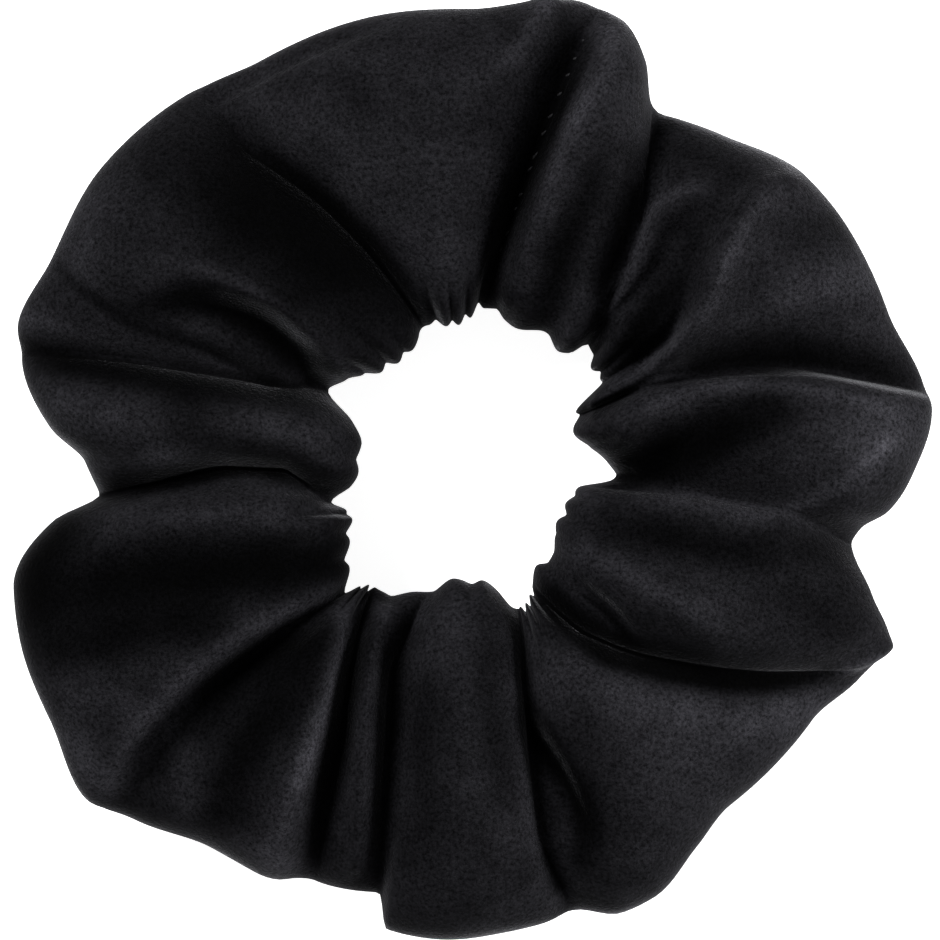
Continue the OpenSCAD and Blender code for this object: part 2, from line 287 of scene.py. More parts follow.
# Cloth is folded and given its thickness along the normals of the tube's smooth section. They don't
# swing round at a crease, so the pile, the back and what lies inside never cross there
outwards, upwards = np.cos(section), np.sin(section)
half_wide = (reach - opening) / 2
half_high = (height - belly) / 2
facing_out, facing_up = outwards / half_wide, upwards / half_high
out_of_cloth = np.stack([facing_out * np.cos(rad), facing_out * np.sin(rad), facing_up], -1)
out_of_cloth /= np.linalg.norm(out_of_cloth, axis=-1, keepdims=True)
flat = base[..., :2]
# Folds are shallower where the ring's own weight presses them
top_weight = (PRESSED_SHARE + (1 - PRESSED_SHARE) * rise(-0.75, 0.1, upwards))[None, :]
face_up = np.abs(out_of_cloth[..., 2])
wall_weight = WALL_SHARE + (1 - WALL_SHARE) * face_up

lift = np.zeros(angle.shape)
quarter = np.linspace(0, 1, 5)
for name, angles, depths, right, left in VALLEYS:
    r0 = round_turn(OPENING, angles[0])
    r1 = round_turn(RIM, angles[-1])
    r = r0 - 2 + (r1 + 4 - r0) * quarter
    a = np.radians(angles)
    path = np.stack([r * np.cos(a), r * np.sin(a)], -1)
    # the widths are given clockwise first, which is the right hand on the way outwards
    lift -= VALLEY_SHARE * fold(flat, path, depths, right, left, crisp=True)
for name, path, heights, right, left in FOLDS:
    lift += fold(flat, path, heights, right, left)

underneath = (upwards < -0.3)[None, :]
seam_gap = (radius - SEAM_RADIUS) / SEAM_GROOVE_WIDTH
groove = SEAM_GROOVE * np.exp(-seam_gap ** 2) * underneath

# The puckers run with the gathers. Under the ring they only go up into the tube
turned = np.radians(ring)[:, None]
wander = sum(size * np.sin(waves * turned + start) for size, waves, start in PUCKER_WANDER)
uneven = 1 - PUCKER_UNEVEN + PUCKER_UNEVEN * np.sin(5 * turned + 0.7)
drawn_in = np.where(upwards > 0, rise(-0.5, -0.95, outwards), rise(0.9, 0.2, outwards))
pressed = rise(0.2, -0.6, upwards)
depth = PUCKER_AT_OPENING + (PUCKER_UNDERNEATH - PUCKER_AT_OPENING) * rise(23, 33, radius)
lobe = np.sqrt(np.sin((PUCKERS * turned + wander + 0.5 * upwards) / 2) ** 2 + CREASE_ROUNDING)
pucker = depth * uneven * drawn_in * (lobe - LOBE_MIDDLE - (1 - LOBE_MIDDLE) * pressed)

cover_points = base + out_of_cloth * (lift * top_weight * wall_weight + pucker)[..., None]
cover_points[..., 2] = np.maximum(cover_points[..., 2], 0) + groove

# Painted light and shade in the pile's colour, partly standing for the velvet's nap: pale strokes
# are painted highlights on crests and lit banks, and dark strokes are painted shade in creases,
# pockets and banks turned from the light. Where the pile has been brushed one way it looks pale, and
# the other way dark.
# Each stroke runs through points in mm (x right, y up): how pale along it, and its two widths
NAP_AND_PAINTED_LIGHT = [
    # upper left
    ("panel_shade", [(-30.5, 43.5), (-28.5, 38.5), (-23.5, 34), (-18, 30), (-13, 25), (-9.5, 19.8)],
     (-0.3, -1.3, -2.6, -2.7, -2.6, -1), 9, 2.2),
    ("panel_edge", [(-6, 17.5), (-10, 24), (-16.5, 31), (-24, 37.5)], (-0.6, -1.3, -1.4, -0.6),
     1.4, 1.4),
    ("panel_light", [(-24, 42), (-17, 37), (-9, 31), (-5, 24)], (0.3, 0.4, 0.4, 0.4), 5, 5),
    ("shoulder_light", [(-46, 30), (-45, 25), (-40, 24)], (0.3, 0.4, 0.1), 3.5, 3.5),
    ("brow_line", [(-37, 24.5), (-31, 23.5), (-25, 20.4), (-20, 16.7), (-15.5, 12.8)],
     (0.2, 0.6, 0.8, 0.9, 0.7), 1.1, 1.1),
    ("brow_shade", [(-40, 19), (-32.5, 20.4), (-27, 18.3), (-21.5, 14.3), (-17.5, 10.8)],
     (-0.3, -1.3, -1.6, -1.5, -1), 2.2, 1.4),
    ("wrinkle_line", [(-49, 24.4), (-45.3, 20.8), (-40.6, 17.5), (-35.8, 15.7), (-30.4, 13.9),
                      (-22.6, 10.1)], (-0.5, -0.8, -1, -1, -0.9, -0.3), 0.7, 0.7),
    ("wrinkle_light", [(-53, 18), (-47, 16.4), (-38, 13.4), (-27.4, 11.3), (-19, 10.2)],
     (0.5, 0.5, 0.5, 0.5, 0.4), 1.3, 1.3),
    ("left_line", [(-54, 15), (-48.3, 13.2), (-40.6, 12), (-32.2, 10.7), (-22.6, 9.5), (-16.5, 8.4)],
     (-1, -1.9, -2, -1.9, -1.6, -0.5), 2.1, 1.2),
    ("left_puff_outer", [(-48, 8), (-43, 6.5), (-38, 4)], (0.5, 0.6, 0.4), 3, 3),
    ("left_puff_inner", [(-25, 5.5), (-20, 4)], (0.3, 0.5), 3, 2.5),
    ("left_puff_shade", [(-33, 8), (-32, 4)], (-0.5, -0.3), 3, 3),
    ("lap_shade", [(-44.5, -3.6), (-38.2, -2.2), (-32.2, -0.9), (-26.2, 0.3), (-20.2, -0.9),
                   (-14.8, -2.5)], (-1, -1.5, -1.7, -1.7, -1.2, -0.8), 0.8, 1.9),
    ("lap_light", [(-43, 1), (-36, 1.3), (-28, 1.4)], (0.5, 1.1, 0.6), 1.4, 1.4),
    # lower left
    ("left_ridge_light", [(-42.3, -6.9), (-35.2, -6), (-26.2, -5.6), (-17.8, -6.8)],
     (0.2, 0.6, 0.6, 0.6), 1.8, 1.8),
    ("left_dark", [(-51, -16), (-41.2, -13.6), (-32.2, -12.4), (-23.2, -11.2), (-14, -10.5)],
     (-1.1, -1.7, -1.9, -1.9, -1.7), 3.2, 4.2),
    ("left_dark_below", [(-49, -21), (-40, -19), (-31, -17.5)], (-1, -1.3, -1.2), 3, 3),
    ("left_dark_rim", [(-50, -7.5), (-53, -12), (-54, -18)], (-2, -1.8, -1.1), 3.5, 3.5),
    ("lower_left_light", [(-48, -26.5), (-43, -27), (-40, -29)], (0.4, 0.5, 0.3), 3.5, 3.5),
    ("lower_left_corner", [(-46.5, -32), (-43.5, -37.5)], (0.7, 0.8), 2.6, 2.6),
    ("crest_light", [(-14.8, -13.3), (-20.2, -16.2), (-27.4, -20.2), (-33.4, -24.8),
                     (-38.6, -30.4), (-42.5, -37.5)], (0.7, 0.9, 1.1, 1, 0.9, 0.6), 1.5, 1.2),
    ("crest_shade", [(-17.5, -18.5), (-25, -23), (-31, -28.5), (-37, -34), (-40.5, -39)],
     (-0.9, -1.4, -1.1, -0.9, -0.7), 1.6, 2.4),
    ("hollow_dark", [(-18.5, -22), (-23, -28), (-27, -34), (-29, -40)], (-0.9, -1.5, -1.4, -0.9),
     3, 3.4),
    ("hollow_patch", [(-33.5, -33.5), (-33, -39)], (0.6, 0.6), 2, 2),
    ("band_light", [(-13.6, -14.5), (-15, -21.6), (-17.6, -30), (-20.6, -37.8), (-23.2, -45)],
     (0.5, 0.9, 1, 1, 1.1), 1.6, 1.4),
    ("band_foot", [(-27, -44), (-22, -47)], (0.6, 0.8), 2.5, 2.5),
    ("pleat_dark", [(-11.8, -16.8), (-13.4, -24), (-15.6, -32), (-17.6, -39), (-18.6, -46)],
     (-0.9, -1.1, -1, -0.9, -0.6), 1.2, 1.2),
    ("pleat_light", [(-10.8, -20), (-10.2, -26.4), (-10.8, -31.2), (-11.4, -38.4), (-11.8, -48)],
     (0.3, 0.8, 0.7, 0.7, 0.3), 1, 1),
    ("gather_light", [(-9.5, -15.5), (-10.2, -19)], (0.7, 0.2), 1, 1),
    # bottom
    ("pleat_right_dark", [(-6.5, -18.5), (-9, -25), (-10.2, -32), (-10.8, -40), (-10.6, -48)],
     (-0.4, -0.7, -0.6, -0.5, -0.3), 1.0, 1.5),
    ("bottom_light", [(-2, -16), (-2, -22)], (0.5, 0.3), 3, 3),
    ("bottom_dark", [(-6, -26), (-5.5, -36), (-6, -46)], (-0.5, -0.5, -0.3), 2.4, 2.4),
    ("bottom_flank", [(2.5, -22), (2.6, -30), (4, -38)], (-0.5, -0.6, -0.3), 1.8, 1.8),
    ("bottom_ridge", [(4.9, -20), (5.6, -29), (7, -38), (8.3, -46), (10.4, -51)],
     (0.3, 0.7, 0.7, 0.7, 0.4), 0.9, 0.9),
    ("pocket_dark", [(6.6, -29.5), (9, -33.4), (11.9, -37.2), (13.4, -41.5), (13.2, -46)],
     (-1, -2, -2.2, -1.9, -1), 1.2, 2),
    ("pocket_foot", [(8.9, -46), (10.6, -50)], (-0.7, -1), 1, 1),
    # lower right
    ("lower_right_light", [(10.3, -22.5), (16.9, -26), (24.6, -28.6), (32.4, -29.3), (40, -27.6)],
     (0.4, 0.7, 0.8, 0.8, 0.7), 4, 2.6),
    ("lower_right_mid", [(22, -36), (28, -37)], (0.3, 0.3), 4, 4),
    ("crease_line", [(16.3, -21.6), (23.4, -23.4), (30, -25), (37.2, -25.5), (43.2, -24.5)],
     (-1.5, -1.8, -1.7, -1.4, -0.6), 1.3, 1.5),
    ("crease_bank", [(8, -14), (13.5, -19.6), (20, -22.8), (27, -24.2), (34, -24.8), (41, -24.4)],
     (-0.7, -1.4, -1.5, -1.5, -1.3, -0.5), 1.3, 1.3),
    ("crease_dark", [(9.4, -14.5), (12.4, -17.8), (16.2, -20.3), (21, -21.2), (27, -22)],
     (-1.2, -1.7, -1.6, -1.3, -0.7), 1.6, 1.8),
    ("short_line", [(13.3, -14.5), (16.3, -16.9), (18.7, -19.9)], (-0.5, -1, -0.6), 0.6, 0.6),
    ("swell_light", [(12.5, -9.6), (19.3, -13), (25.2, -16.2), (31.2, -19.9)],
     (0.6, 0.9, 0.9, 0.4), 1.8, 1.9),
    ("right_dark", [(17, -7), (23.4, -8), (30, -9.6), (37.2, -9), (44, -10)],
     (-0.7, -1.3, -1.1, -0.7, -0.7), 2.2, 2.4),
    ("right_dark_below", [(38, -16), (45, -16)], (-0.5, -0.6), 4, 4),
    ("right_line_light", [(12.5, -2.7), (17.5, -2.9), (26.4, -3.6), (32.4, -5), (38.4, -4.3),
                          (44.4, -1.3), (49, 3)], (0.7, 0.7, 0.8, 0.8, 0.8, 0.7, 0.6), 1.2, 1.5),
    ("corner_line", [(41, -25.2), (44.4, -23.6), (48, -22.2)], (0.3, 0.9, 0.8), 0.8, 0.8),
    # upper right
    ("right_pocket_dark", [(17.5, -0.6), (23, 1), (29.4, 4), (35, 6.8)], (-1.7, -2.1, -2, -1.2),
     2.6, 2.9),
    ("right_light", [(39, 1), (45, 3.5), (50, 5)], (0.5, 0.8, 0.7), 4, 3.5),
    ("right_crest_light", [(21.5, 7.7), (27.6, 9.9), (34.8, 9.9), (42, 9.0), (49.2, 7.2)],
     (0.6, 0.9, 0.9, 0.8, 0.6), 1.3, 0.9),
    ("right_crest_dark", [(27, 12.6), (33, 13.1), (40, 13.3), (47, 12.2), (52, 10.4)],
     (-0.9, -1.3, -1.6, -1.5, -1), 1.3, 2.6),
    ("upper_right_light", [(33, 19), (40, 21.6), (46, 23)], (0.3, 0.6, 0.7), 2.8, 2.8),
    ("upper_right_mid", [(38, 28), (43, 29)], (-0.3, -0.4), 2.5, 2.5),
    ("curl_ridge_light", [(36, 32.2), (32.4, 29.2), (30, 24.4), (27.6, 19), (23.4, 14.8),
                          (19.3, 11.4), (15.7, 9.2)], (0.5, 0.5, 0.7, 0.7, 0.8, 0.8, 0.4), 1, 1),
    ("curl_dark", [(26.2, 28.5), (24.8, 23.4), (21.8, 19), (18.8, 15.6), (16.8, 12)],
     (-0.3, -0.9, -1.4, -1.5, -1), 1.8, 1.9),
    ("curl_line", [(14.3, 6.7), (17.5, 8.7), (20.5, 10.4)], (-0.8, -1.2, -0.8), 0.7, 0.7),
    ("bank_light", [(26.4, 33.1), (22, 31.4), (19.9, 27.4), (18.4, 23.4), (16.2, 18.6)],
     (0.5, 0.9, 0.8, 0.6, 0.4), 0.9, 0.9),
    ("bank_dark", [(20, 37), (18.3, 31), (17, 25.4), (15.8, 21)], (-0.5, -0.8, -1, -0.7), 1.5, 1.3),
    ("lobe_light", [(13.9, 19.6), (12.3, 16)], (0.6, 0.6), 1.5, 1.5),
    ("closing_dark", [(16, 37.5), (13.7, 32), (11.2, 26.4), (9.4, 20.5)], (-0.4, -1, -1.2, -0.9),
     1.9, 1.9),
    ("closing_light", [(16.8, 52), (16.4, 47.6), (14, 43.5), (10.9, 37.6), (7.9, 30.6),
                       (5, 22.6)], (0.9, 1, 0.9, 0.7, 0.6, 0.5), 1.7, 1.7),
    ("closing_bank_shade", [(4.2, 21), (6, 29), (8.5, 37), (10.8, 44), (12.6, 51)],
     (-0.6, -1.1, -1.2, -1, -0.4), 1.1, 1.1),
    ("closing_crease", [(14.3, 50.4), (11.4, 44), (7.3, 35.2), (4.3, 27.4), (2.2, 20.2)],
     (-0.4, -1.1, -1.5, -1.3, -0.8), 1.5, 0.6),
    ("top_crest_light", [(9, 54.6), (6.1, 50.1), (2.5, 45.9)], (1.1, 0.7, 0.2), 0.9, 1.1),
    ("top_crest_dark", [(11.6, 53.4), (9.9, 48.9), (7.4, 44.2)], (-0.5, -0.7, -0.4), 1.1, 1.1),
    ("upper_mid_dark", [(23, 37.5), (30, 36)], (-0.4, -0.4), 2.4, 2.4),
]
# The darkest and palest that the painted light and shade, with the nap, make the pile, and how much
# more a dark stroke of painted shade counts
PAINTED_LIGHT_DARKEST = 0.07
PAINTED_SHADE_GAIN = 1.3
PAINTED_LIGHT_PALEST = 3.5
# The strokes add up to the painted light and shade, a factor on the pile's colour
nap_and_painted_light = np.zeros(angle.shape)
for name, path, tones, right, left in NAP_AND_PAINTED_LIGHT:
    nap_and_painted_light += fold(flat, path, tones, right, left)
nap_and_painted_light = np.where(nap_and_painted_light < 0, PAINTED_SHADE_GAIN * nap_and_painted_light, nap_and_painted_light)
nap_and_painted_light = np.clip(np.exp(nap_and_painted_light * top_weight), PAINTED_LIGHT_DARKEST, PAINTED_LIGHT_PALEST)


def grid_faces(start, rows, columns, wrap_round, wrap_over):
    """Faces of a grid of points, with its two directions closed into rings or left open."""
    r, c = np.meshgrid(np.arange(rows if wrap_round else rows - 1),
                       np.arange(columns if wrap_over else columns - 1), indexing="ij")
    below, beside = (r + 1) % rows, (c + 1) % columns
    corners = [r * columns + c, below * columns + c, below * columns + beside, r * columns + beside]
    return start + np.stack(corners, -1).reshape(-1, 4)


def rim_faces(outer, inner, closed):
    """Faces that join two matching lines of points along the cloth's cut edge."""
    after = np.roll(outer, -1), np.roll(inner, -1)
    faces = np.stack([outer, after[0], after[1], inner], -1)
    return faces if closed else faces[:-1]


def cloth(name, outer, inner, wrap_round, wrap_over):
    """Piece of cloth with its thickness, between two grids of points in mm."""
    rows, columns = outer.shape[:2]
    back_rows, back_columns = inner.shape[:2]
    start = rows * columns
    faces = [grid_faces(0, rows, columns, wrap_round, wrap_over)]
    back = grid_faces(start, back_rows, back_columns, wrap_round, wrap_over)[:, ::-1]
    near = np.arange(start).reshape(rows, columns)
    far = start + np.arange(back_rows * back_columns).reshape(back_rows, back_columns)
    rims = []
    if not wrap_round:
        rims.append(rim_faces(near[0], far[0], wrap_over))
        rims.append(rim_faces(near[-1], far[-1], wrap_over)[:, ::-1])
    if not wrap_over:
        rims.append(rim_faces(near[:, 0], far[:, 0], wrap_round)[:, ::-1])
        rims.append(rim_faces(near[:, -1], far[:, -1], wrap_round))
    points = np.concatenate([outer.reshape(-1, 3), inner.reshape(-1, 3)])
    shape = bpy.data.meshes.new(name)
    shape.from_pydata((points * MM).tolist(), [], np.concatenate(faces + [back] + rims).tolist())
    shape.shade_smooth()
    piece = bpy.data.objects.new(name, shape)
    bpy.context.scene.collection.objects.link(piece)
    return piece, len(faces[0]), len(back)


def stretch_with_loop(piece):
    """Bakes a piece's placement into its points."""
    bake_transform(piece)


# The cloth's knit back is a coarser skin, one cloth thickness inside the pile
back_points = cover_points - out_of_cloth * CLOTH_THICK
cover, pile_faces, back_faces = cloth(
    "velvet_cover", cover_points, back_points[::2, ::2], True, True)
mesh = cover.data
# The pile's points carry the painted light and shade, with the nap; the back's points are left at 1
painted_light_values = np.ones(len(mesh.vertices))
painted_light_values[:nap_and_painted_light.size] = nap_and_painted_light.ravel()
mesh.attributes.new("nap_and_painted_light", "FLOAT", "POINT").data.foreach_set("value", painted_light_values)

PILE_BLACK = (0.0052, 0.0051, 0.0059)
SHEEN_TINT = (0.85, 0.85, 0.9, 1)

velvet = bpy.data.materials.new("black_velvet")
velvet.use_nodes = True
shader = velvet.node_tree.nodes["Principled BSDF"]
shader.inputs["Roughness"].default_value = 0.9
shader.inputs["Specular IOR Level"].default_value = 0.01
shader.inputs["Sheen Weight"].default_value = 0.15
shader.inputs["Sheen Roughness"].default_value = 0.24
shader.inputs["Sheen Tint"].default_value = SHEEN_TINT


def add_node(material, kind, **settings):
    """New shader node with its settings and the values of its named inputs."""
    node = material.node_tree.nodes.new(kind)
    for key, value in settings.items():
        if key in node.inputs:
            node.inputs[key].default_value = value
        else:
            setattr(node, key, value)
    return node


def join(material, out, into):
    material.node_tree.links.new(out, into)


place = add_node(velvet, "ShaderNodeTexCoord").outputs["Object"]
# Node that reads the painted light and shade, with the nap, from the cover's points
painted_light_node = add_node(velvet, "ShaderNodeAttribute", attribute_name="nap_and_painted_light")
# Tufts of pile lean this way and that, and finer specks of light sit on single fibres
tufts = add_node(velvet, "ShaderNodeTexNoise", Scale=180, Detail=3, Roughness=0.6)
fibres = add_node(velvet, "ShaderNodeTexNoise", Scale=2300, Detail=2, Roughness=0.7)
join(velvet, place, tufts.inputs["Vector"])
join(velvet, place, fibres.inputs["Vector"])
tuft_tone = add_node(velvet, "ShaderNodeMapRange")
tuft_tone.inputs["From Min"].default_value = 0.3
tuft_tone.inputs["From Max"].default_value = 0.7
tuft_tone.inputs["To Min"].default_value = 0.7
tuft_tone.inputs["To Max"].default_value = 1.3
fibre_tone = add_node(velvet, "ShaderNodeMapRange")
fibre_tone.inputs["From Min"].default_value = 0.3
fibre_tone.inputs["From Max"].default_value = 0.7
fibre_tone.inputs["To Min"].default_value = 0.35
fibre_tone.inputs["To Max"].default_value = 1.75
join(velvet, tufts.outputs["Fac"], tuft_tone.inputs["Value"])
join(velvet, fibres.outputs["Fac"], fibre_tone.inputs["Value"])
both = add_node(velvet, "ShaderNodeMath", operation="MULTIPLY")
join(velvet, tuft_tone.outputs["Result"], both.inputs[0])
join(velvet, fibre_tone.outputs["Result"], both.inputs[1])
pile = add_node(velvet, "ShaderNodeVectorMath", operation="SCALE")
pile.inputs["Vector"].default_value = PILE_BLACK
# The pile's black is scaled by the painted light and shade and by the tufts and fibres
painted_light_on_pile = add_node(velvet, "ShaderNodeMath", operation="MULTIPLY")
join(velvet, painted_light_node.outputs["Fac"], painted_light_on_pile.inputs[0])
join(velvet, both.outputs[0], painted_light_on_pile.inputs[1])
join(velvet, painted_light_on_pile.outputs[0], pile.inputs["Scale"])
join(velvet, pile.outputs["Vector"], shader.inputs["Base Color"])
bump = add_node(velvet, "ShaderNodeBump", Strength=0.5, Distance=0.00025)
join(velvet, fibres.outputs["Fac"], bump.inputs["Height"])
join(velvet, bump.outputs["Normal"], shader.inputs["Normal"])
cover.data.materials.append(velvet)


# The knit back is plain: rows of small loops without any pile
KNIT_LOOP = (0.022, 0.022, 0.025, 1)
KNIT_GAP = (0.008, 0.008, 0.009, 1)
knit = bpy.data.materials.new("knit_back")
knit.use_nodes = True
knit_shader = knit.node_tree.nodes["Principled BSDF"]
knit_shader.inputs["Roughness"].default_value = 0.85
knit_shader.inputs["Specular IOR Level"].default_value = 0.15
knit_place = add_node(knit, "ShaderNodeTexCoord").outputs["Object"]
loops = add_node(knit, "ShaderNodeTexVoronoi", Scale=1600)
knit_tone = add_node(knit, "ShaderNodeValToRGB")
knit_tone.color_ramp.elements[0].color = KNIT_LOOP
knit_tone.color_ramp.elements[1].color = KNIT_GAP
knit_bump = add_node(knit, "ShaderNodeBump", Strength=0.4, Distance=0.0002)
join(knit, knit_place, loops.inputs["Vector"])
join(knit, loops.outputs["Distance"], knit_tone.inputs["Fac"])
join(knit, knit_tone.outputs["Color"], knit_shader.inputs["Base Color"])
join(knit, loops.outputs["Distance"], knit_bump.inputs["Height"])
join(knit, knit_bump.outputs["Normal"], knit_shader.inputs["Normal"])
mesh.materials.append(knit)
sides = np.zeros(len(mesh.polygons), dtype=np.int32)
sides[pile_faces:pile_faces + back_faces] = 1
mesh.polygons.foreach_set("material_index", sides)

stretch_with_loop(cover)
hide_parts("cover_left", "cover_right")


# ---- Seam allowance -------------------------------------------------------------------------
# The long seam's two cut edges, turned inside the tube. They lie on the belly of the cover,
# knit side out, and ripple along their free edge because the tube is gathered.

ALLOWANCE_WIDTH = 8.0
ALLOWANCE_GAP = 0.3
# Clear of the seam line, and between its two edges
SEAM_INSET = 0.3
EDGE_GAP = 0.05
ALLOWANCE_COLUMNS = 7
# The gathers push the free edge into this many ripples, this high
RIPPLES = 38
RIPPLE_HEIGHT = 1.3
EDGE_UNEVEN = 0.25
# Rows of the cover's points: the tucked end takes the first number of them before the closing seam,
# and the allowance starts past that seam and stops short of the tuck by the other two
TUCK_ROWS = 20
START_PAST_SEAM = 3
STOP_SHORT_OF_TUCK = 5
closing_row = int(np.argmin(np.abs(ring - np.mean(VALLEYS[9][1]))))
allowance_count = ROUND_STEPS - TUCK_ROWS - START_PAST_SEAM - STOP_SHORT_OF_TUCK
allowance_rows = (closing_row + START_PAST_SEAM + np.arange(allowance_count)) % ROUND_STEPS

half_way = SECTION_STEPS // 2
belly_back = back_points[allowance_rows][:, half_way:]
reach_back = np.hypot(belly_back[..., 0], belly_back[..., 1])


def on_belly(out_from_middle):
    """Points on the inside of the cover's belly, at a distance from the middle for each row."""
    return np.array([
        [np.interp(out_from_middle[n], reach_back[n], row[:, axis]) for axis in range(3)]
        for n, row in enumerate(belly_back)
    ])


turn = np.linspace(0, 1, len(allowance_rows))
ripple = 0.5 + 0.5 * np.sin(2 * math.pi * RIPPLES * turn + 1.5 * np.sin(2 * math.pi * 5 * turn))


def allowance_layer(level):
    """One cut edge: rows of points from the seam to its free edge, at a height above the belly."""
    columns = []
    for share in np.linspace(0, 1, ALLOWANCE_COLUMNS):
        uneven = EDGE_UNEVEN * np.sin(2 * math.pi * 9 * turn + 2 * level) * share
        points = on_belly(SEAM_RADIUS - SEAM_INSET - (ALLOWANCE_WIDTH + uneven) * share)
        points[:, 2] += level + RIPPLE_HEIGHT * ripple * share ** 1.5
        columns.append(points)
    return np.stack(columns, 1)


edges = []
for count, level in enumerate((ALLOWANCE_GAP, ALLOWANCE_GAP + CLOTH_THICK + EDGE_GAP)):
    low_face = allowance_layer(level)
    high_face = allowance_layer(level + CLOTH_THICK)
    edge, _, _ = cloth(f"allowance_edge_{count}", high_face, low_face, False, False)
    edges.append(edge)
bpy.ops.object.select_all(action="DESELECT")
for edge in edges:
    edge.select_set(True)
bpy.context.view_layer.objects.active = edges[0]
bpy.ops.object.join()
allowance = edges[0]
allowance.name = "seam_allowance"
allowance.data.materials.append(knit)
stretch_with_loop(allowance)
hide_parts("seam_allowance_left", "seam_allowance_right")


# ---- Closing tuck ---------------------------------------------------------------------------
# The tube's raw end, pushed into the other end before the ring is sewn shut. It is the same
# velvet, lies just inside the cover and reaches back 8 mm from the closing seam. It is the
# cover's own cloth.

TUCK_GAP = 0.4
tuck_rows = (closing_row - TUCK_ROWS + np.arange(TUCK_ROWS + 1)) % ROUND_STEPS
tuck_face = cover_points[tuck_rows] - out_of_cloth[tuck_rows] * (CLOTH_THICK + TUCK_GAP)
tuck_back = tuck_face - out_of_cloth[tuck_rows] * CLOTH_THICK
tuck, _, _ = cloth("tucked_end", tuck_face, tuck_back, False, True)
# The tucked end gets no painted light or shade: its factor is 1 all over
tuck.data.attributes.new("nap_and_painted_light", "FLOAT", "POINT").data.foreach_set(
    "value", np.ones(len(tuck.data.vertices)))
tuck.data.materials.append(velvet)
stretch_with_loop(tuck)
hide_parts("closing_tuck")


# ---- Stitches -------------------------------------------------------------------------------
# Black polyester thread. Machine stitches run along the long seam, a little way in from it, and
# the closing seam is sewn through from outside with the stitches sunk in the pile.

THREAD_THICK = 0.4
STITCH_LENGTH = 2.5
STITCH_GAP = 0.5
# The middle of the long seam's thread runs this far above the allowance
SEAM_THREAD_LIFT = 0.1
# The closing thread lies this many thread thicknesses down in the pile, and crosses to the next
# row of the cover's points on each side
CLOSING_SUNK = 1.4
BANK_ROWS = 1
THREAD_DARK = (0.003, 0.003, 0.0035, 1)
THREAD_PALE = (0.009, 0.009, 0.01, 1)

thread = bpy.data.materials.new("black_thread")
thread.use_nodes = True
thread_shader = thread.node_tree.nodes["Principled BSDF"]
thread_shader.inputs["Roughness"].default_value = 0.7
thread_shader.inputs["Specular IOR Level"].default_value = 0.12
thread_place = add_node(thread, "ShaderNodeTexCoord").outputs["Object"]
twist = add_node(thread, "ShaderNodeTexWave", Scale=900, Distortion=2)
twist_tone = add_node(thread, "ShaderNodeValToRGB")
twist_tone.color_ramp.elements[0].color = THREAD_DARK
twist_tone.color_ramp.elements[1].color = THREAD_PALE
join(thread, thread_place, twist.inputs["Vector"])
join(thread, twist.outputs["Fac"], twist_tone.inputs["Fac"])
join(thread, twist_tone.outputs["Color"], thread_shader.inputs["Base Color"])

# One stitch, one long along X: a round length of thread whose ends dive into the cloth
bpy.ops.object.select_all(action="DESELECT")
bpy.ops.mesh.primitive_cylinder_add(vertices=8, radius=0.5, depth=1, end_fill_type="NGON",
                                    rotation=(0, math.pi / 2, 0))
stitch = bpy.context.object
bpy.ops.object.transform_apply(location=False, rotation=True, scale=True)
bpy.ops.object.mode_set(mode="EDIT")
bpy.ops.mesh.select_all(action="SELECT")
bpy.ops.mesh.bevel(offset=0.18, segments=2, affect="EDGES")
bpy.ops.object.mode_set(mode="OBJECT")


def sew(name, ends):
    """Copies the stitch between each pair of points in mm, and joins the copies in one piece."""
    bpy.ops.object.select_all(action="DESELECT")
    for start, end in ends:
        start, end = Vector(start) * MM, Vector(end) * MM
        copy = stitch.copy()
        copy.data = stitch.data.copy()
        bpy.context.scene.collection.objects.link(copy)
        copy.location = (start + end) / 2
        copy.rotation_euler = (end - start).to_track_quat("X", "Z").to_euler()
        copy.scale = ((end - start).length, THREAD_THICK * MM, THREAD_THICK * MM)
        copy.select_set(True)
    bpy.context.view_layer.objects.active = copy
    bpy.ops.object.join()
    bpy.ops.object.transform_apply()
    row = bpy.context.object
    row.name = name
    row.data.materials.append(thread)
    bpy.ops.object.shade_smooth_by_angle(angle=math.radians(40))
    stretch_with_loop(row)
    return row


def stitches_along(line):
    """Start and end of each stitch of a row that follows a line of points in mm."""
    run = np.concatenate([[0], np.cumsum(np.linalg.norm(np.diff(line, axis=0), axis=1))])
    starts = np.arange(0, run[-1] - STITCH_LENGTH, STITCH_LENGTH)
    read = [[np.interp(at, run, line[:, axis]) for axis in range(3)] for at in
            np.sort(np.concatenate([starts, starts + STITCH_LENGTH - STITCH_GAP]))]
    return [(read[n], read[n + 1]) for n in range(0, len(read), 2)]


seam_line = allowance_layer(ALLOWANCE_GAP + 2 * CLOTH_THICK + EDGE_GAP)[:, 1]
seam_line[:, 2] += SEAM_THREAD_LIFT
seam_stitches = sew("long_seam_thread", stitches_along(seam_line))
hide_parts("seam_stitches_left", "seam_stitches_right")

# On the closing seam each stitch crosses the crease from one bank to the other
sunk = cover_points - out_of_cloth * THREAD_THICK * CLOSING_SUNK
crease = cover_points[closing_row]
walk = np.concatenate([[0], np.cumsum(np.linalg.norm(np.diff(crease, axis=0), axis=1))])
columns = [int(np.argmin(np.abs(walk - at))) for at in np.arange(0, walk[-1], STITCH_LENGTH)]
crossings = [
    (sunk[closing_row - BANK_ROWS, k], sunk[closing_row + BANK_ROWS, (k + 1) % SECTION_STEPS])
    for k in columns
]
closing_stitches = sew("closing_seam_thread", crossings)
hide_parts("closing_stitches")


# ---- Elastic --------------------------------------------------------------------------------
# A loop of flat braided elastic, 6 mm wide, that runs free inside the tube and gathers it. Its
# ribs run along its length.

loop_low, loop_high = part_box("elastic_left")
ELASTIC_THICK = 1.0
RIB_COUNT = 12
RIB_SWELL = 1.12
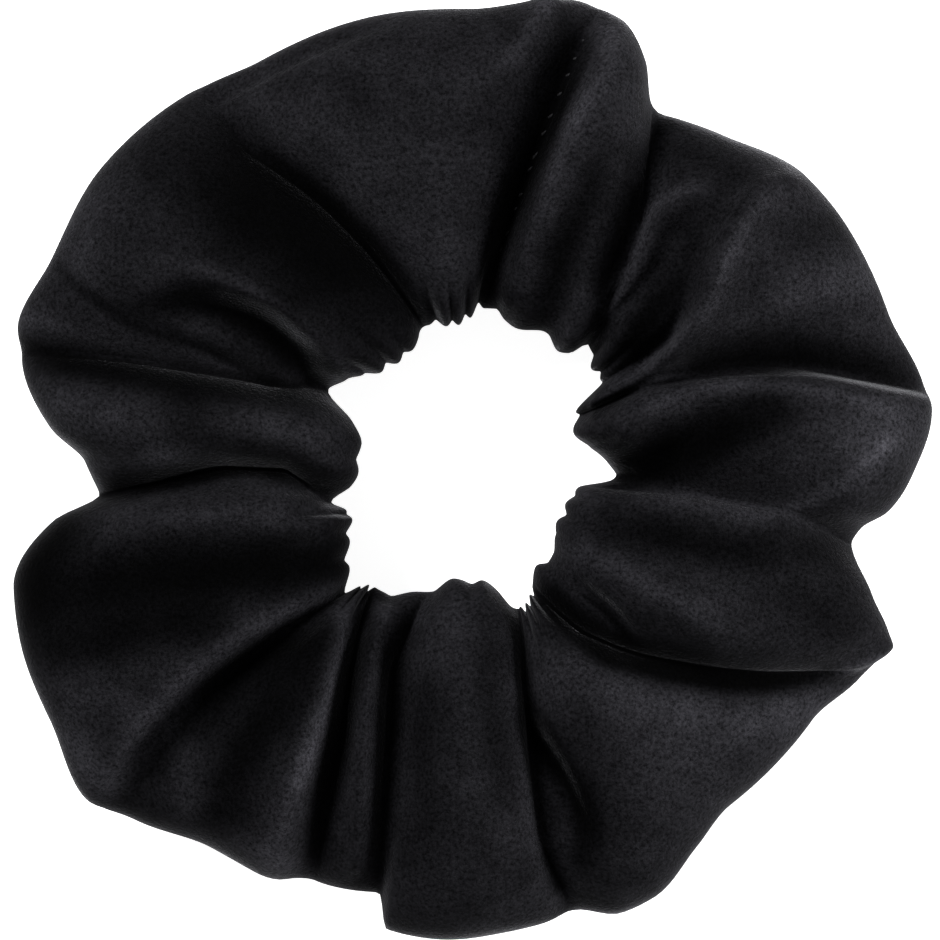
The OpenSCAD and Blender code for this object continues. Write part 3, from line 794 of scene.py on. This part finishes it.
# Waves of the braid round the loop and up its width, in radians over a turn and over a metre
BRAID_ROUND = 1900
BRAID_UP = 9000
ELASTIC_DARK = (0.006, 0.006, 0.007, 1)
ELASTIC_PALE = (0.026, 0.026, 0.028, 1)
loop_outer = loop_high[1] / MM
loop_middle_height = (loop_low[2] + loop_high[2]) / 2 / MM
elastic_width = (loop_high[2] - loop_low[2]) / MM

braid = bpy.data.materials.new("braided_elastic")
braid.use_nodes = True
braid_shader = braid.node_tree.nodes["Principled BSDF"]
braid_shader.inputs["Roughness"].default_value = 0.6
braid_shader.inputs["Specular IOR Level"].default_value = 0.25
braid_place = add_node(braid, "ShaderNodeTexCoord").outputs["Object"]
yarns = add_node(braid, "ShaderNodeTexGradient", gradient_type="RADIAL")
split = add_node(braid, "ShaderNodeSeparateXYZ")
picks = add_node(braid, "ShaderNodeMath", operation="MULTIPLY")
picks.inputs[1].default_value = BRAID_ROUND
slope = add_node(braid, "ShaderNodeMath", operation="MULTIPLY_ADD")
slope.inputs[1].default_value = BRAID_UP
weave = add_node(braid, "ShaderNodeMath", operation="SINE")
weave_tone = add_node(braid, "ShaderNodeMapRange")
weave_tone.inputs["From Min"].default_value = -1
weave_colour = add_node(braid, "ShaderNodeValToRGB")
weave_colour.color_ramp.elements[0].color = ELASTIC_DARK
weave_colour.color_ramp.elements[1].color = ELASTIC_PALE
weave_bump = add_node(braid, "ShaderNodeBump", Strength=0.5, Distance=0.00015)
join(braid, braid_place, yarns.inputs["Vector"])
join(braid, braid_place, split.inputs["Vector"])
join(braid, yarns.outputs["Fac"], picks.inputs[0])
join(braid, split.outputs["Z"], slope.inputs[0])
join(braid, picks.outputs[0], slope.inputs[2])
join(braid, slope.outputs[0], weave.inputs[0])
join(braid, weave.outputs[0], weave_tone.inputs["Value"])
join(braid, weave_tone.outputs["Result"], weave_colour.inputs["Fac"])
join(braid, weave_colour.outputs["Color"], braid_shader.inputs["Base Color"])
join(braid, weave_tone.outputs["Result"], weave_bump.inputs["Height"])
join(braid, weave_bump.outputs["Normal"], braid_shader.inputs["Normal"])


def elastic_band(name, outer, start, sweep, steps):
    """Flat ribbed elastic standing on edge, swept round the middle through an angle in degrees."""
    bpy.ops.object.select_all(action="DESELECT")
    bpy.ops.mesh.primitive_grid_add(
        x_subdivisions=1, y_subdivisions=RIB_COUNT, size=1, rotation=(math.pi / 2, 0, 0))
    band = bpy.context.object
    band.name = name
    band.scale = (ELASTIC_THICK * MM, elastic_width * MM, 1)
    band.location = ((outer - ELASTIC_THICK / 2) * MM, 0, loop_middle_height * MM)
    bpy.ops.object.transform_apply()
    step = elastic_width * MM / RIB_COUNT
    foot = (loop_middle_height - elastic_width / 2) * MM
    bpy.ops.object.mode_set(mode="EDIT")
    bpy.ops.mesh.select_all(action="DESELECT")
    bpy.ops.object.mode_set(mode="OBJECT")
    for vertex in band.data.vertices:
        vertex.select = round((vertex.co.z - foot) / step) % 2 == 1
    bpy.ops.object.mode_set(mode="EDIT")
    bpy.ops.transform.resize(value=(RIB_SWELL, 1, 1))
    bpy.ops.mesh.select_all(action="SELECT")
    whole_turn = sweep == 360
    if whole_turn:
        # only the section's outline is swept, so that the closed loop has no walls inside it
        bpy.ops.mesh.select_mode(type="EDGE")
        bpy.ops.mesh.region_to_loop()
        bpy.ops.mesh.select_all(action="INVERT")
        bpy.ops.mesh.delete(type="EDGE")
        bpy.ops.mesh.select_mode(type="VERT")
        bpy.ops.mesh.select_all(action="SELECT")
    bpy.ops.transform.rotate(value=-math.radians(start), orient_axis="Z", center_override=(0, 0, 0))
    bpy.ops.mesh.spin(steps=steps, angle=math.radians(sweep), center=(0, 0, 0), axis=(0, 0, 1))
    bpy.ops.mesh.select_all(action="SELECT")
    bpy.ops.mesh.remove_doubles(threshold=1e-6)
    bpy.ops.mesh.normals_make_consistent(inside=False)
    bpy.ops.object.mode_set(mode="OBJECT")
    bpy.ops.object.shade_smooth_by_angle(angle=math.radians(50))
    band.data.materials.append(braid)
    stretch_with_loop(band)
    return band


loop = elastic_band("elastic_loop", loop_outer, 0, 360, 200)
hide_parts("elastic_left", "elastic_right")

# The loop's two ends overlap on the left and are bar-tacked together
LAP_MIDDLE = 205.0
LAP_LENGTH = 13.0
LAP_GAP = 0.05
lap_sweep = math.degrees(LAP_LENGTH / loop_outer)
lap = elastic_band("elastic_overlap", loop_outer + ELASTIC_THICK + LAP_GAP,
                   LAP_MIDDLE - lap_sweep / 2, lap_sweep, 16)
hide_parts("elastic_lap")

BAR_STITCHES = 5
BAR_PITCH = 1.6
BAR_SLANT = 0.45
BAR_SPREAD = 0.3
BAR_MARGIN = 0.8
BAR_LIFT = 0.15
tack_face = loop_outer + ELASTIC_THICK + BAR_LIFT
tack_low = loop_low[2] / MM + BAR_MARGIN
tack_high = loop_high[2] / MM - BAR_MARGIN
tacks = []
for bar in (-1, 1):
    for count in range(BAR_STITCHES):
        at = LAP_MIDDLE + bar * lap_sweep * BAR_SPREAD + (count - BAR_STITCHES // 2) * BAR_PITCH
        up = math.radians(at + BAR_PITCH * BAR_SLANT)
        at = math.radians(at)
        tacks.append(((tack_face * math.cos(at), tack_face * math.sin(at), tack_low),
                      (tack_face * math.cos(up), tack_face * math.sin(up), tack_high)))
bartack = sew("elastic_bar_tacks", tacks)
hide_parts("elastic_bartack")
bpy.data.objects.remove(stitch)


# ---- Floor, lights and camera ---------------------------------------------------------------
# The ring lies on a plain white floor, lit by one soft lamp from the upper left and another, low,
# from the right. The camera looks straight down at it.

CAMERA_HEIGHT = 0.636
LAMP_SIZE = 0.45
LAMP_ENERGY = 13

bpy.ops.mesh.primitive_plane_add(size=2, location=(0, 0, -0.0002))
floor = bpy.context.object
floor.name = "floor"
white = bpy.data.materials.new("white_floor")
white.use_nodes = True
white.node_tree.nodes["Principled BSDF"].inputs["Base Color"].default_value = (0.9, 0.9, 0.9, 1)
white.node_tree.nodes["Principled BSDF"].inputs["Emission Color"].default_value = (1, 1, 1, 1)
white.node_tree.nodes["Principled BSDF"].inputs["Emission Strength"].default_value = 0.9
floor.data.materials.append(white)
world = bpy.data.worlds.new("studio")
bpy.context.scene.world = world
world.use_nodes = True
world.node_tree.nodes["Background"].inputs["Color"].default_value = (1, 1, 1, 1)
world.node_tree.nodes["Background"].inputs["Strength"].default_value = 0.3
bpy.context.scene.view_settings.view_transform = "Standard"

camera_data = bpy.data.cameras.new("camera")
camera = bpy.data.objects.new("camera", camera_data)
bpy.context.scene.collection.objects.link(camera)
bpy.context.scene.camera = camera
camera_data.lens = 200
camera_data.sensor_width = 36
camera.location = (0, 0, CAMERA_HEIGHT)
camera_data.clip_start = 0.01


def soft_lamp(name, place):
    light = bpy.data.lights.new(name, "AREA")
    light.shape = "DISK"
    light.size = LAMP_SIZE
    light.energy = LAMP_ENERGY
    lamp = bpy.data.objects.new(name, light)
    bpy.context.scene.collection.objects.link(lamp)
    lamp.location = place
    lamp.rotation_euler = (-Vector(place)).to_track_quat("-Z", "Y").to_euler()


soft_lamp("key", (-0.5, 0.4, 0.55))
soft_lamp("fill", (0.62, -0.08, 0.14))
